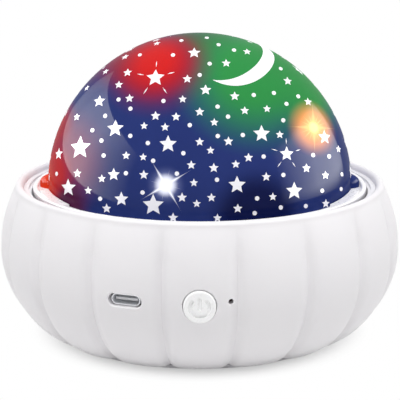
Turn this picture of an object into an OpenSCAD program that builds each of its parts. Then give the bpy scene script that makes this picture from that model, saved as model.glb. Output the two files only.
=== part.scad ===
// Star night light projector: a fluted round base with a turning film dome that lifts off.
// Millimetres. X is to the right, the front faces -Y, Z is up.
// The origin is on the table, under the centre of the base.

/* [Body] */
// Largest radius of the shell, over the lobes
body_r = 65; // [64:0.5:90]
// Height of the rim above the table
rim_z = 49.2; // [48.4:0.2:70]
// Height of the widest part of the shell
belly_z = 27.5; // [22:0.5:34]
// How far the lower outline draws in towards the table
foot_inset = 22.2; // [18:0.2:26]
// How far the rim draws in from the widest part
rim_inset = 5.75; // [4:0.25:8]
// Number of lobes round the shell
lobes = 18; // [12:2:30]
// Depth of the crease between two lobes
lobe_depth = 1.4; // [0.6:0.1:2]
// Wall of the shell behind a crease
wall = 2; // [1.6:0.1:2.4]
// Width of the rounded lip at the rim
lip_w = 1.95; // [1.6:0.05:3]
// Height of the shell's lower edge above the table
shell_z = 2; // [1.6:0.1:3]

/* [Base] */
// Gap between the table and the base plate
foot_gap = 1; // [0.6:0.1:1.4]
// Thickness of the base plate
base_t = 2.2; // [1.8:0.1:3]
// Diameter of a rubber foot
foot_d = 10; // [7:0.5:12]
// Thickness of a rubber foot
foot_t = 1.8; // [1.4:0.1:2.2]
// Distance of the feet from the centre
foot_at = 38; // [30:0.5:39]
// Distance of the pillars from the centre, left and right
pillar_x = 38.5; // [37:0.5:40]
// Distance of the pillars from the centre, front and back
pillar_y = 14; // [12:0.5:16]
// Diameter of a pillar
pillar_d = 7.2; // [6:0.2:8]
// Height at which the pillars meet the base's bosses
split_z = 12; // [9:0.5:15]

/* [Deck tray] */
// Depth of the ledge that carries the tray, below the rim
ledge_drop = 3.2; // [2.8:0.1:4]
// Width of that ledge
ledge_w = 1.2; // [0.8:0.1:1.6]
// Thickness of the tray's flange
flange_t = 1.4; // [1:0.1:2]
// Depth of the tray below the ledge
tray_depth = 9; // [8.5:0.5:14]
// Wall of the tray
tray_wall = 1.1; // [0.9:0.1:1.4]
// Thickness of the tray's floor
floor_t = 2; // [1.6:0.1:3]
// Diameter of the hollow post that the turntable turns on
post_d = 16; // [14:0.5:18]
// Bore of the post
post_bore = 11; // [9:0.5:12]
// Height of the post above the tray's floor
post_h = 12; // [11.6:0.2:16]

/* [Turntable] */
// Distance from the shell's mouth to the turntable
ring_inset = 3.1; // [2.6:0.1:4]
// Open gap round the turntable
ring_gap = 1.4; // [1:0.1:1.8]
// Depth of the dome's seat below the rim
seat_drop = 2.5; // [2.2:0.1:2.8]
// Height of the turntable's outer lip above the seat
lip_h = 1.3; // [1:0.1:1.8]
// Width of the outer lip
ring_lip_w = 1.6; // [1.2:0.1:2]
// Thickness of the turntable's disc
disc_t = 1.8; // [1.4:0.1:2.4]
// Diameter of the turntable's hub
hub_d = 22; // [20:0.5:24]
// Thickness of the washer under the hub
washer_t = 1.2; // [0.8:0.1:1.6]
// Height of the raised lands that hold the dome's edge
land_h = 0.9; // [0.6:0.1:2.2]

/* [Drive] */
// Module of the gear teeth
gear_module = 0.8; // [0.8:0.05:0.9]
// Teeth on the gear under the turntable
gear_teeth = 60; // [54:2:62]
// Teeth on the motor's pinion
pinion_teeth = 18; // [18:2:20]
// Thickness of the gear
gear_t = 4; // [3:0.2:4.6]
// Diameter of the motor's output shaft
shaft_d = 3; // [2:0.5:4]
// Width of the motor and its gearbox
motor_w = 12; // [10:0.5:13]
// Depth of the motor and its gearbox
motor_d = 10; // [8:0.5:11]
// Length of the gearbox
gearbox_l = 9; // [7:0.5:10]
// Length of the motor can
motor_l = 15; // [12:0.5:18]

/* [Dome] */
// Distance from the turntable's outside to the dome
dome_inset = 4.7; // [4.2:0.1:6]
// Height of the dome's centre above its seat
dome_rise = 0.5; // [0.2:0.1:3]
// Wall of the dome
dome_wall = 1.2; // [0.8:0.1:1.6]
// Width of an ear at the dome's edge
ear_w = 9.5; // [7:0.5:12]
// Height of an ear
ear_h = 4.1; // [2.6:0.1:4.4]

/* [Lights] */
// Diameter of a projection light
led_d = 5; // [4:0.5:5]
// Height of a projection light
led_h = 6; // [5:0.5:8]
// Distance of the projection lights from the centre
led_at = 6.6; // [6.4:0.1:7]
// Diameter of the round light board
led_board_d = 20; // [19:0.5:24]

/* [Main board] */
// Thickness of the circuit boards
board_t = 1.6; // [1:0.2:2]
// Length of the bosses that the main board hangs from
boss_l = 10; // [8:0.5:12]
// Width of the main board
board_w = 72; // [66:1:76]
// Distance from the centre to the back edge of the main board
board_back = 30; // [28:0.5:32]

/* [Port, button and indicator] */
// Direction of the charging port, from the front, minus is to the left
port_az = -19.5; // [-24:0.5:-18]
// Width of the opening for the charging port
port_w = 10.3; // [9.6:0.1:12]
// Height of the opening for the charging port
port_h = 3.7; // [3.6:0.1:5]
// Depth of the socket's mouth behind the shell's face
port_recess = 1.6; // [1:0.1:3]
// Diameter of the power button's cap
button_d = 9.6; // [8:0.2:12]
// How far the cap stands out of the shell
button_out = 0.75; // [0.2:0.05:1.2]
// Travel of the power button
button_travel = 0.6; // [0.3:0.05:0.8]
// Distance from the cap's edge to the indicator hole
hole_gap = 4.2; // [4:0.1:8]
// Diameter of the indicator hole
hole_d = 1.6; // [0.8:0.1:2]

/* [Battery] */
// Diameter of the cell
cell_d = 18.2; // [14:0.1:18.6]
// Length of the cell
cell_l = 65; // [50:1:65]
// Distance of the cell behind the centre
cell_y = 28; // [26:0.5:29]

/* [Fits] */
// Radial running clearance of a turning part
run_fit = 0.06; // [0.03:0.01:0.1]
// Radial clearance of a screw or a plug in its hole
screw_fit = 0.05; // [0.03:0.01:0.1]
// Clearance between fixed plastic parts
part_fit = 0.1; // [0.05:0.05:0.2]
// Clearance round parts that pass each other
free_fit = 0.3; // [0.2:0.05:0.5]
// Play of the gear teeth at the pitch circle
backlash = 0.1; // [0.06:0.02:0.2]

/* [Hidden] */
$fn = 96;

// Outline of the shell: a squashed circle below the belly and a flatter curve above it
low_power = 1.856;
high_power = 2.18;
foot_r = body_r - foot_inset;
rim_r = body_r - rim_inset;
function outer_r(z) = z < belly_z
    ? foot_r + foot_inset * pow(1 - pow((belly_z - z) / belly_z, low_power), 1 / low_power)
    : body_r - rim_inset * pow((z - belly_z) / (rim_z - belly_z), high_power);
function inner_r(z) = outer_r(z) - lobe_depth - wall;

// Shell
mouth_r = rim_r - lip_w;
lip_round = 1.2;
lobe_fade = 16;
lobe_steps = 6;
low_rings = 7;
high_rings = 7;
ledge_z = rim_z - ledge_drop;
ledge_r = mouth_r - ledge_w;
ledge_t = 2.5;
under_ledge = 2.5;
floor_flange_t = 2;
floor_flange_w = 2.8;
shell_hole_r = outer_r(shell_z) - lobe_depth - floor_flange_w;

// Base plate
base_top = foot_gap + base_t;
base_flange_in = 1.3;
base_flange_r = outer_r(shell_z) - lobe_depth - base_flange_in;
spigot_r = shell_hole_r - free_fit;
base_boss_d = 8.4;
foot_turn = 45;

// Screws: head diameter, head height, shank diameter, shank length
case_screw = [5.2, 1.8, 2.5, 16];
clamp_screw = [3.8, 1.4, 2, 7.6];
board_screw = [4.2, 1.6, 2.3, 7];
gear_screw = [3.8, 1.3, 2, 6];
motor_screw = [3, 1, 1.6, 4];
light_screw = [3, 1.1, 1.7, 5];
pilot_extra = 1.6;
head_room = 0.3;
case_seat = 4;

// Tray
flange_r = mouth_r - part_fit;
ring_r = mouth_r - ring_inset;
tray_r = ledge_r - 2 * part_fit;
tray_in = tray_r - tray_wall;
tray_step = 0.4;
floor_z = ledge_z - tray_depth;
floor_under = floor_z - floor_t;
post_top = floor_z + post_h;

// Turntable
seat_z = rim_z - seat_drop;
lip_top = seat_z + lip_h;
ring_lip_in = ring_r - ring_lip_w;
ring_round = 0.3;
skirt_r = ring_r - 0.2;
skirt_t = 1.5;
skirt_drop = 2.2;
disc_z = seat_z - 3.5;
seat_t = 1.4;
seat_in = 3;
seat_wall = 1.7;
hub_z = floor_z + washer_t + 0.05;
hub_top = post_top - free_fit;
land_from = 15;
land_to = 37;
gear_boss_d = 5.2;
gear_boss_h = 2.5;

// Gears
gear_pitch = gear_module * gear_teeth / 2;
pinion_pitch = gear_module * pinion_teeth / 2;
motor_x = gear_pitch + pinion_pitch;
tooth_root = 1.25 * gear_module;
gear_bolt_at = (hub_d / 2 + free_fit + gear_pitch - tooth_root) / 2;
pressure = 20;
gear_z = disc_z - gear_t;
pinion_gap = 0.4;
pinion_top = disc_z - pinion_gap;
motor_bolt = 4.5;
can_z = floor_under - gearbox_l - motor_l;
shaft_in = 6;

// Dome
dome_r = ring_r - dome_inset;
dome_z = seat_z + dome_rise;
ear_reach = ring_lip_in - free_fit;
ear_x = ear_reach - ear_w / 2;
ear_side = 1.4;

// Lights
holder_flange_t = 1.4;
holder_plug_l = 6;
light_board_t = 1.2;
light_board_z = post_top + holder_flange_t;
light_z = light_board_z + light_board_t;
wire_hole_y = 3.4;
wire_hole_d = 2.8;

// Main board and what stands on it
board_top = floor_under - boss_l;
board_under = board_top - board_t;
board_gap = 1.7;
board_r = inner_r(board_under) - board_gap;
board_boss_d = 5.6;
board_bosses = [[-26, -36], [26, -36], [0, -43]];
usb_w = 8.94;
usb_h = 3.26;
usb_l = 7.35;
usb_wall = 0.3;
tongue_w = 6.7;
tongue_t = 0.7;
tongue_l = 6.2;
port_z = board_top + usb_h / 2;
usb_mouth = outer_r(port_z) - port_recess;
switch_w = 4.5;
switch_l = 3.5;
plunger_d = 2.4;
plunger_out = 1.3;
plunger_in = 1.2;
plunger_z = board_top + switch_w / 2;
button_z = board_top + 1.1;
button_bore = button_d / 2 + 0.2;
button_flange = button_d / 2 + 1.1;
button_flange_t = 1;
button_edge = 0.45;
button_stem = 4.8;
symbol_r = 2.7;
symbol_w = 1.15;
symbol_gap = 52;
symbol_bar = [-1.07, 2.8];
symbol_deep = 0.35;
face_r = outer_r(button_z) + button_out;
flange_front = min(inner_r(button_z - button_flange), inner_r(button_z + button_flange)) - free_fit;
notch_w = 2 * button_flange + 2;
notch_r = flange_front - button_flange_t - plunger_out - 0.9;
switch_front = notch_r - 0.2;
small_led_d = 3;
small_led_l = 5.3;
hole_z = board_top + 2.2;
hole_az = asin((button_d / 2 + hole_gap) / outer_r(hole_z));
small_led_tip = inner_r(hole_z) - 0.4;

// Parts on the board: [x, y, width, depth, height]
chips = [
    [-8, -40, 5, 4, 1.5], [12, -44, 5, 4, 1.5], [-26, -43, 3, 3, 1.2],
    [22, -46, 6, 3.4, 2.4], [-10, -50, 2, 1.25, 0.6], [-6, -50, 2, 1.25, 0.6],
    [16, -50, 2, 1.25, 0.6], [28, -43, 2, 1.25, 0.6], [-14, -44, 3.2, 2.6, 1.1]
];
socket_w = 6;
socket_d = 4.6;
socket_h = 4.4;
socket_y = board_back + 1 + socket_d / 2;
battery_socket_x = -7;
light_socket_x = 4;
motor_socket_x = 16;

// Battery
cell_gap = 0.9;
cell_z = base_top + cell_gap + cell_d / 2;
cradle_x = 22;
cradle_w = 4;
cradle_h = 6;
clamp_w = 10;
clamp_t = 1.3;
clamp_foot_t = 1.6;
clamp_foot_at = cell_d / 2 + 4.1;
clamp_foot_w = 5.6;
clamp_boss_top = cell_z - 2.2;
nub_d = 6;
nub_l = 0.8;

// Wires, each along its own points
wire_sides = 8;
wire_steps = 4;
lead_d = 1.6;
motor_lead_d = 2;
harness_d = 2.2;
wire_z = board_top + 2;
wire_end = -(board_back + 1);
red_route = [
    [cell_l / 2, cell_y, cell_z], [36, cell_y, cell_z], [35, 22, 23], [20, 10, 26],
    [8, -6, 26], [-5, -24, 27], [battery_socket_x + 1.3, wire_end + 3, wire_z],
    [battery_socket_x + 1.3, wire_end, wire_z]
];
black_route = [
    [-cell_l / 2, cell_y, cell_z], [-36, cell_y, cell_z], [-35, 22, 23], [-22, 8, 26],
    [-14, -8, 26], [-9, -24, 27], [battery_socket_x - 1.3, wire_end + 3, wire_z],
    [battery_socket_x - 1.3, wire_end, wire_z]
];
motor_route = [
    [motor_x, -3.6, can_z], [motor_x, -3.6, can_z - 3], [30, -12, can_z - 3], [25, -21, 13],
    [19, -26, 21], [motor_socket_x, wire_end + 3, wire_z], [motor_socket_x, wire_end, wire_z]
];
harness_route = [
    [0, -wire_hole_y, light_board_z], [0, -wire_hole_y, floor_z + 3], [0, -3.6, floor_under],
    [1, -9, floor_under - 4], [3, -22, floor_under - 5],
    [light_socket_x, wire_end + 3, wire_z], [light_socket_x, wire_end, wire_z]
];

// ---- shared shapes ----

module front_at(az, r, z) rotate([0, 0, az]) translate([0, -r, z]) children();

// Turns a shape that stands on +Z so that it points inwards, along +Y
module inwards() rotate([-90, 0, 0]) children();

module ring(ro, ri, h) {
    difference() {
        cylinder(r = ro, h = h);
        translate([0, 0, -1]) cylinder(r = ri, h = h + 2);
    }
}

// Wedge between two angles, for cutting an arc out of a ring
module wedge(from, to, r, h) {
    linear_extrude(h) polygon([
        [0, 0],
        for (i = [0:4]) let (a = from + (to - from) * i / 4) [r * cos(a), r * sin(a)]
    ]);
}

module oblong(w, h, l) {
    corner = h / 2;
    side = w / 2 - corner;
    linear_extrude(l) polygon([
        for (s = [1, -1], a = [-90:15:90]) [s * (side + corner * cos(a)), s * corner * sin(a)]
    ]);
}

// A screw with its head under z = 0 and its shank upwards
module screw(size) {
    slot_w = 0.5;
    difference() {
        union() {
            translate([0, 0, -size[1]]) cylinder(d = size[0], h = size[1]);
            cylinder(d = size[2], h = size[3]);
        }
        for (turn = [0, 90]) rotate([0, 0, turn])
            translate([0, 0, -size[1]]) cube([size[0] * 0.6, slot_w, size[1]], center = true);
    }
}

module screw_hole(size) cylinder(d = size[2] + 2 * screw_fit, h = size[3] + pilot_extra);

// A round light with a collar, standing on z = 0
module light(d, h) {
    r = d / 2;
    collar = r + 0.4;
    rotate_extrude() polygon([
        [0, 0], [collar, 0], [collar, 1], [r, 1],
        for (a = [0:15:75]) [r * cos(a), h - r + r * sin(a)],
        [0, h]
    ]);
}

module at_pillars() for (x = [-1, 1], y = [-1, 1]) translate([x * pillar_x, y * pillar_y, 0]) children();

module at_feet() for (i = [0:3]) rotate([0, 0, foot_turn + 90 * i]) translate([foot_at, 0, 0]) children();

module at_gear_bolts() for (i = [0:2]) rotate([0, 0, 60 + 120 * i]) translate([gear_bolt_at, 0, 0]) children();

module at_board_bosses() for (p = board_bosses) translate([p[0], p[1], 0]) children();

module at_clamp_feet() for (s = [-1, 1]) translate([0, cell_y + s * clamp_foot_at, 0]) children();

module along_cell(d, l) rotate([0, 90, 0]) cylinder(d = d, h = l, center = true);

// ---- wires: a tube swept along a smooth curve through its points ----

function unit(v) = v / norm(v);

function bend(a, b, c, d, t) =
    0.5 * (2 * b + (c - a) * t + (2 * a - 5 * b + 4 * c - d) * t * t + (3 * b - a - 3 * c + d) * t * t * t);

function smooth(p) = let (n = len(p) - 1) [
    for (i = [0:n - 1], j = [0:wire_steps - 1])
        let (before = i == 0 ? 2 * p[0] - p[1] : p[i - 1], after = i == n - 1 ? 2 * p[n] - p[n - 1] : p[i + 2])
        bend(before, p[i], p[i + 1], after, j / wire_steps),
    p[n]
];

function tangents(p) = let (n = len(p) - 1) [
    for (i = [0:n]) i == 0 ? unit(p[1] - p[0]) : i == n ? unit(p[n] - p[n - 1]) : unit(p[i + 1] - p[i - 1])
];

function sides(t, u, i = 0) = i == len(t)
    ? []
    : let (v = unit(u - (u * t[i]) * t[i])) concat([v], sides(t, v, i + 1));

module tube(route, d, side) {
    p = smooth(route);
    way = concat([unit(route[1] - route[0])], [for (i = [1:len(p) - 2]) tangents(p)[i]],
        [unit(route[len(route) - 1] - route[len(route) - 2])]);
    u = sides(way, side);
    rings = len(p);
    last = (rings - 1) * wire_sides;
    points = [
        for (i = [0:rings - 1], j = [0:wire_sides - 1])
            let (a = 360 * j / wire_sides) p[i] + d / 2 * (cos(a) * u[i] + sin(a) * cross(way[i], u[i]))
    ];
    function at(i, j) = i * wire_sides + j % wire_sides;
    faces = concat(
        [for (j = [1:wire_sides - 2]) [0, j, j + 1]],
        [for (j = [1:wire_sides - 2]) [last, last + j + 1, last + j]],
        [for (i = [0:rings - 2], j = [0:wire_sides - 1]) [at(i, j), at(i + 1, j), at(i + 1, j + 1)]],
        [for (i = [0:rings - 2], j = [0:wire_sides - 1]) [at(i, j), at(i + 1, j + 1), at(i, j + 1)]]
    );
    polyhedron(points, faces);
}

// ---- case ----

// How deep the crease is at a height: full on the sides, nothing at the rim
function crease(z) = lobe_depth * min(1, max(0, (rim_z - lip_round - z) / lobe_fade));

// The shell's section, as [radius, height, crease depth], once round the wall
function low_z(i) = shell_z + (belly_z - shell_z) * pow(i / low_rings, 1.7);
function high_z(i) = belly_z + (rim_z - lip_round - belly_z) * i / high_rings;
function shell_section() = let (
    lip_z = rim_z - lip_round,
    lip_mid = (outer_r(lip_z) + mouth_r) / 2,
    lip_half = (outer_r(lip_z) - mouth_r) / 2,
    inside_top = ledge_z - ledge_t - under_ledge,
    inside_low = shell_z + floor_flange_t
) concat(
    [for (i = [0:low_rings - 1]) [outer_r(low_z(i)), low_z(i), crease(low_z(i))]],
    [for (i = [0:high_rings]) [outer_r(high_z(i)), high_z(i), crease(high_z(i))]],
    [for (a = [36:36:144]) [lip_mid + lip_half * cos(a), lip_z + lip_round * sin(a), 0]],
    [[mouth_r, lip_z, 0], [mouth_r, ledge_z, 0], [ledge_r, ledge_z, 0], [ledge_r, ledge_z - ledge_t, 0]],
    [for (i = [0:5]) let (z = inside_top + (inside_low + 1 - inside_top) * i / 5) [inner_r(z), z, 0]],
    [[shell_hole_r, inside_low, 0], [shell_hole_r, shell_z, 0]]
);

// Depth of the scallop across one lobe: 0 at its middle, 1 at the crease
function scallop(i) = pow(2 * (i % lobe_steps) / lobe_steps - 1, 2);

module fluted_wall() {
    section = shell_section();
    n = len(section);
    columns = lobes * lobe_steps;
    half_lobe = 180 / lobes;
    points = [
        for (i = [0:columns - 1], s = section)
            let (a = 360 * i / columns - 90 - half_lobe, r = s[0] - s[2] * scallop(i))
            [r * cos(a), r * sin(a), s[1]]
    ];
    function at(i, k) = (i % columns) * n + k % n;
    faces = [
        for (i = [0:columns - 1], k = [0:n - 1], half = [0, 1])
            half == 0
                ? [at(i, k), at(i, k + 1), at(i + 1, k + 1)]
                : [at(i, k), at(i + 1, k + 1), at(i + 1, k)]
    ];
    polyhedron(points, faces);
}

module outer_shell() {
    deep = 20;
    color("#efeef0") difference() {
        fluted_wall();
        front_at(port_az, body_r + 1, port_z) inwards() oblong(port_w, port_h, deep);
        front_at(0, body_r + 1, button_z) inwards() cylinder(r = button_bore, h = deep);
        front_at(hole_az, body_r + 1, hole_z) inwards() cylinder(d = hole_d, h = deep);
    }
}

module cradle() {
    size = [cradle_w, cell_d + 1, cradle_h];
    difference() {
        translate([-size[0] / 2, cell_y - size[1] / 2, base_top]) cube(size);
        translate([0, cell_y, cell_z]) along_cell(cell_d + 2 * part_fit, cradle_w + 2);
    }
}

module base_plate() {
    color("#e4e4e6") difference() {
        union() {
            translate([0, 0, foot_gap]) cylinder(r = base_flange_r, h = shell_z - foot_gap);
            translate([0, 0, foot_gap]) cylinder(r = spigot_r, h = base_t);
            at_pillars() translate([0, 0, foot_gap]) cylinder(d = base_boss_d, h = split_z - foot_gap);
            at_clamp_feet() translate([0, 0, foot_gap])
                cylinder(d = clamp_foot_w, h = clamp_boss_top - foot_gap);
            intersection() {
                for (s = [-1, 1]) translate([s * cradle_x, 0, 0]) cradle();
                cylinder(r = spigot_r, h = split_z);
            }
        }
        at_feet() cylinder(d = foot_d + 2 * part_fit, h = foot_t);
        at_pillars() {
            cylinder(d = case_screw[0] + 2 * head_room, h = case_seat);
            cylinder(d = case_screw[2] + 2 * part_fit, h = split_z + 1);
        }
        at_clamp_feet() translate([0, 0, clamp_boss_top + 1]) mirror([0, 0, 1])
            cylinder(d = clamp_screw[2] + 2 * screw_fit, h = clamp_screw[3] - clamp_foot_t + 1.5);
    }
}

module rubber_feet() {
    color("#3a3a3c") at_feet() cylinder(d = foot_d, h = foot_t);
}

module base_screws() {
    color("#9a9da2") at_pillars() translate([0, 0, case_seat]) screw(case_screw);
}

// ---- deck tray, which hangs in the shell's mouth and carries the works ----

module tray_cup() {
    rotate_extrude() polygon([
        [post_bore / 2, floor_under], [tray_r, floor_under], [tray_r, ledge_z], [flange_r, ledge_z],
        [flange_r, ledge_z + flange_t], [ring_r + ring_gap, ledge_z + flange_t],
        [ring_r + ring_gap, ledge_z + tray_step], [tray_in, ledge_z + tray_step],
        [tray_in, floor_z], [post_d / 2, floor_z], [post_d / 2, post_top], [post_bore / 2, post_top]
    ]);
}

module deck_tray() {
    pillar_hole = case_seat + case_screw[3] + pilot_extra - split_z;
    color("#f1f1f3") difference() {
        union() {
            tray_cup();
            at_pillars() translate([0, 0, split_z]) cylinder(d = pillar_d, h = floor_under + 1 - split_z);
            at_board_bosses() translate([0, 0, board_top]) cylinder(d = board_boss_d, h = boss_l + 1);
        }
        at_pillars() translate([0, 0, split_z - 1])
            cylinder(d = case_screw[2] + 2 * screw_fit, h = pillar_hole + 1);
        at_board_bosses() translate([0, 0, board_under]) screw_hole(board_screw);
        translate([motor_x, 0, floor_under - 1]) cylinder(d = shaft_d + 1, h = floor_t + 2);
        for (s = [-1, 1]) translate([motor_x, s * motor_bolt, floor_under - 1])
            cylinder(d = motor_screw[2] + 2 * screw_fit, h = floor_t + 2);
    }
}

module thrust_washer() {
    color("#d9cfa8") translate([0, 0, floor_z]) ring(hub_d / 2, post_d / 2 + part_fit, washer_t);
}

// ---- turntable ----

module turntable_plate() {
    bore = post_d / 2 + run_fit;
    hub = hub_d / 2;
    inner_seat = dome_r - seat_in;
    disc_top = disc_z + disc_t;
    rotate_extrude() polygon([
        [bore, hub_z], [hub, hub_z], [hub, disc_z], [inner_seat + seat_wall, disc_z],
        [inner_seat + seat_wall, seat_z - seat_t], [skirt_r - skirt_t, seat_z - seat_t],
        [skirt_r - skirt_t, disc_z - skirt_drop], [skirt_r, disc_z - skirt_drop], [skirt_r, seat_z - 0.2],
        [ring_r, seat_z], [ring_r, lip_top - ring_round], [ring_r - ring_round, lip_top],
        [ring_lip_in + ring_round, lip_top], [ring_lip_in, lip_top - ring_round], [ring_lip_in, seat_z],
        [inner_seat, seat_z], [inner_seat, disc_top], [hub, disc_top], [hub, hub_top], [bore, hub_top]
    ]);
}

// Lands on both sides of each ear hold the dome's edge and turn it
module dome_lands() {
    inside = dome_r + 0.4;
    for (side = [0, 180], s = [0, 1]) rotate([0, 0, side]) mirror([0, s, 0]) intersection() {
        translate([0, 0, seat_z - 0.3]) ring(ring_lip_in + ring_round, inside, land_h + 0.3);
        translate([0, 0, seat_z - 0.5]) wedge(land_from, land_to, body_r, land_h + 1);
    }
}

module turntable() {
    color("#f4f4f6") difference() {
        union() {
            turntable_plate();
            dome_lands();
            at_gear_bolts() translate([0, 0, disc_z]) cylinder(d = gear_boss_d, h = disc_t + gear_boss_h);
        }
        at_gear_bolts() translate([0, 0, disc_z - 1]) cylinder(d = gear_screw[2] + 2 * screw_fit, h = 4.6);
    }
}

// ---- gears ----

function involute(a) = tan(a) * 180 / PI - a;

// Half the angle of a tooth at radius r, for a gear of pitch radius p
function half_tooth(r, p) =
    (PI * gear_module / 2 - backlash) / (2 * p) * 180 / PI + involute(pressure)
    - involute(acos(min(1, p * cos(pressure) / r)));

module gear_outline(teeth) {
    p = gear_module * teeth / 2;
    tip = p + gear_module;
    root = p - tooth_root;
    base = p * cos(pressure);
    flank = [root, for (i = [0:3]) max(root + 0.05, base) * (1 - i / 3) + tip * i / 3];
    polygon([
        for (k = [0:teeth - 1], s = [-1, 1], i = [0:4])
            let (r = flank[s < 0 ? i : 4 - i], a = 360 * k / teeth + s * half_tooth(max(r, base), p))
            [r * cos(a), r * sin(a)]
    ]);
}

module drive_gear() {
    color("#f2ead2") translate([0, 0, gear_z]) difference() {
        linear_extrude(gear_t) gear_outline(gear_teeth);
        translate([0, 0, -1]) cylinder(r = hub_d / 2 + free_fit, h = gear_t + 2);
        at_gear_bolts() {
            translate([0, 0, -1]) cylinder(d = gear_screw[2] + 2 * part_fit, h = gear_t + 2);
            translate([0, 0, -1]) cylinder(d = gear_screw[0] + 2 * head_room, h = gear_screw[1] + 1.1);
        }
    }
}

module gear_screws() {
    color("#9a9da2") at_gear_bolts() translate([0, 0, gear_z + gear_screw[1] + 0.1]) screw(gear_screw);
}

module pinion() {
    half_gap = 180 / pinion_teeth;
    color("#f2ead2") translate([motor_x, 0, gear_z]) difference() {
        rotate([0, 0, half_gap]) linear_extrude(pinion_top - gear_z) gear_outline(pinion_teeth);
        translate([0, 0, -1]) cylinder(d = shaft_d + 2 * screw_fit, h = gear_t + 2);
    }
}

module motor_shaft() {
    color("#c9ccd1") translate([motor_x, 0, floor_under - shaft_in])
        cylinder(d = shaft_d, h = pinion_top - floor_under + shaft_in);
}

module motor_block(z, h) translate([motor_x - motor_d / 2, -motor_w / 2, z]) cube([motor_d, motor_w, h]);

module motor_gearbox() {
    color("#d8b45a") difference() {
        motor_block(floor_under - gearbox_l, gearbox_l);
        translate([motor_x, 0, floor_under - shaft_in - 0.5])
            cylinder(d = shaft_d + 2 * run_fit, h = shaft_in + 1);
        for (s = [-1, 1]) translate([motor_x, s * motor_bolt, floor_under - 3.5])
            cylinder(d = motor_screw[2] + 2 * screw_fit, h = 4);
    }
}

module motor_can() {
    bush_l = 0.8;
    color("#b9bcc1") union() {
        intersection() {
            motor_block(can_z, motor_l);
            translate([motor_x, 0, can_z]) cylinder(d = motor_w, h = motor_l);
        }
        translate([motor_x, 0, can_z - bush_l]) cylinder(d = 3, h = bush_l + 1);
    }
}

module motor_screws() {
    color("#9a9da2") for (s = [-1, 1]) translate([motor_x, s * motor_bolt, floor_z])
        mirror([0, 0, 1]) screw(motor_screw);
}

// ---- film dome ----

module ear() {
    r = ear_w / 2;
    rotate_extrude() polygon([
        [0, 0], [r, 0],
        for (a = [0:15:75]) [r * cos(a), ear_side + (ear_h - ear_side) * sin(a)],
        [0, ear_h]
    ]);
}

module film_dome() {
    below = 2 * dome_r;
    color("#27357a") difference() {
        union() {
            translate([0, 0, dome_z]) sphere(r = dome_r);
            for (s = [-1, 1]) translate([s * ear_x, 0, seat_z]) ear();
        }
        translate([0, 0, dome_z]) sphere(r = dome_r - dome_wall);
        translate([-below, -below, seat_z - below]) cube([2 * below, 2 * below, below]);
    }
}

// ---- lights ----

module led_holder() {
    plug_r = post_bore / 2 - screw_fit;
    color("#efefef") difference() {
        union() {
            translate([0, 0, post_top - holder_plug_l]) cylinder(r = plug_r, h = holder_plug_l + 1);
            translate([0, 0, post_top]) cylinder(d = led_board_d + 1, h = holder_flange_t);
        }
        translate([0, 0, light_board_z - light_screw[3]])
            cylinder(d = light_screw[2] + 2 * screw_fit, h = light_screw[3] + 1);
        for (s = [-1, 1]) translate([0, s * wire_hole_y, post_top - holder_plug_l - 1])
            cylinder(d = wire_hole_d, h = holder_plug_l + holder_flange_t + 2);
    }
}

module led_board() {
    color("#e9efe9") translate([0, 0, light_board_z])
        ring(led_board_d / 2, light_screw[2] / 2 + part_fit, light_board_t);
}

module led_board_screw() {
    color("#9a9da2") translate([0, 0, light_z]) mirror([0, 0, 1]) screw(light_screw);
}

module projection_light(turn) rotate([0, 0, turn]) translate([led_at, 0, light_z]) light(led_d, led_h);

module led_red() color("#e02020") projection_light(135);

module led_green() color("#20c040") projection_light(45);

module led_blue() color("#2050e0") projection_light(-135);

module led_white() color("#fff6e0") projection_light(-45);

// ---- main board ----

module main_board() {
    half_w = board_w / 2;
    color("#2f6b46") difference() {
        intersection() {
            translate([0, 0, board_under]) cylinder(r = board_r, h = board_t);
            translate([-half_w, -body_r, board_under - 1]) cube([board_w, body_r - board_back, board_t + 2]);
        }
        translate([-notch_w / 2, -body_r, board_under - 1]) cube([notch_w, body_r - notch_r, board_t + 2]);
        at_board_bosses() translate([0, 0, board_under - 1])
            cylinder(d = board_screw[2] + 2 * part_fit, h = board_t + 2);
    }
}

module board_screws() {
    color("#9a9da2") at_board_bosses() translate([0, 0, board_under]) screw(board_screw);
}

module board_chips() {
    color("#26282b") for (c = chips) translate([c[0] - c[2] / 2, c[1] - c[3] / 2, board_top])
        cube([c[2], c[3], c[4]]);
}

module wire_sockets() {
    color("#f0ece0") for (x = [battery_socket_x, light_socket_x, motor_socket_x])
        translate([x - socket_w / 2, -socket_y - socket_d / 2, board_top]) cube([socket_w, socket_d, socket_h]);
}

module usb_shell() {
    color("#c4c7cc") front_at(port_az, usb_mouth, port_z) inwards() difference() {
        oblong(usb_w, usb_h, usb_l);
        translate([0, 0, -1]) oblong(usb_w - 2 * usb_wall, usb_h - 2 * usb_wall, usb_l + 1 - usb_wall);
    }
}

module usb_tongue() {
    back = usb_l - usb_wall;
    color("#2b2d30") front_at(port_az, usb_mouth, port_z)
        translate([-tongue_w / 2, back - tongue_l, -tongue_t / 2]) cube([tongue_w, tongue_l, tongue_t]);
}

module tact_switch() {
    color("#2b2d30") difference() {
        translate([-switch_w / 2, -switch_front, board_top]) cube([switch_w, switch_l, switch_w]);
        front_at(0, switch_front + 1, plunger_z) inwards()
            cylinder(d = plunger_d + 2 * screw_fit, h = 1 + plunger_in + button_travel + 0.2);
    }
}

module tact_plunger() {
    color("#e8e8e8") front_at(0, switch_front + plunger_out, plunger_z) inwards()
        cylinder(d = plunger_d, h = plunger_out + plunger_in);
}

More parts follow.
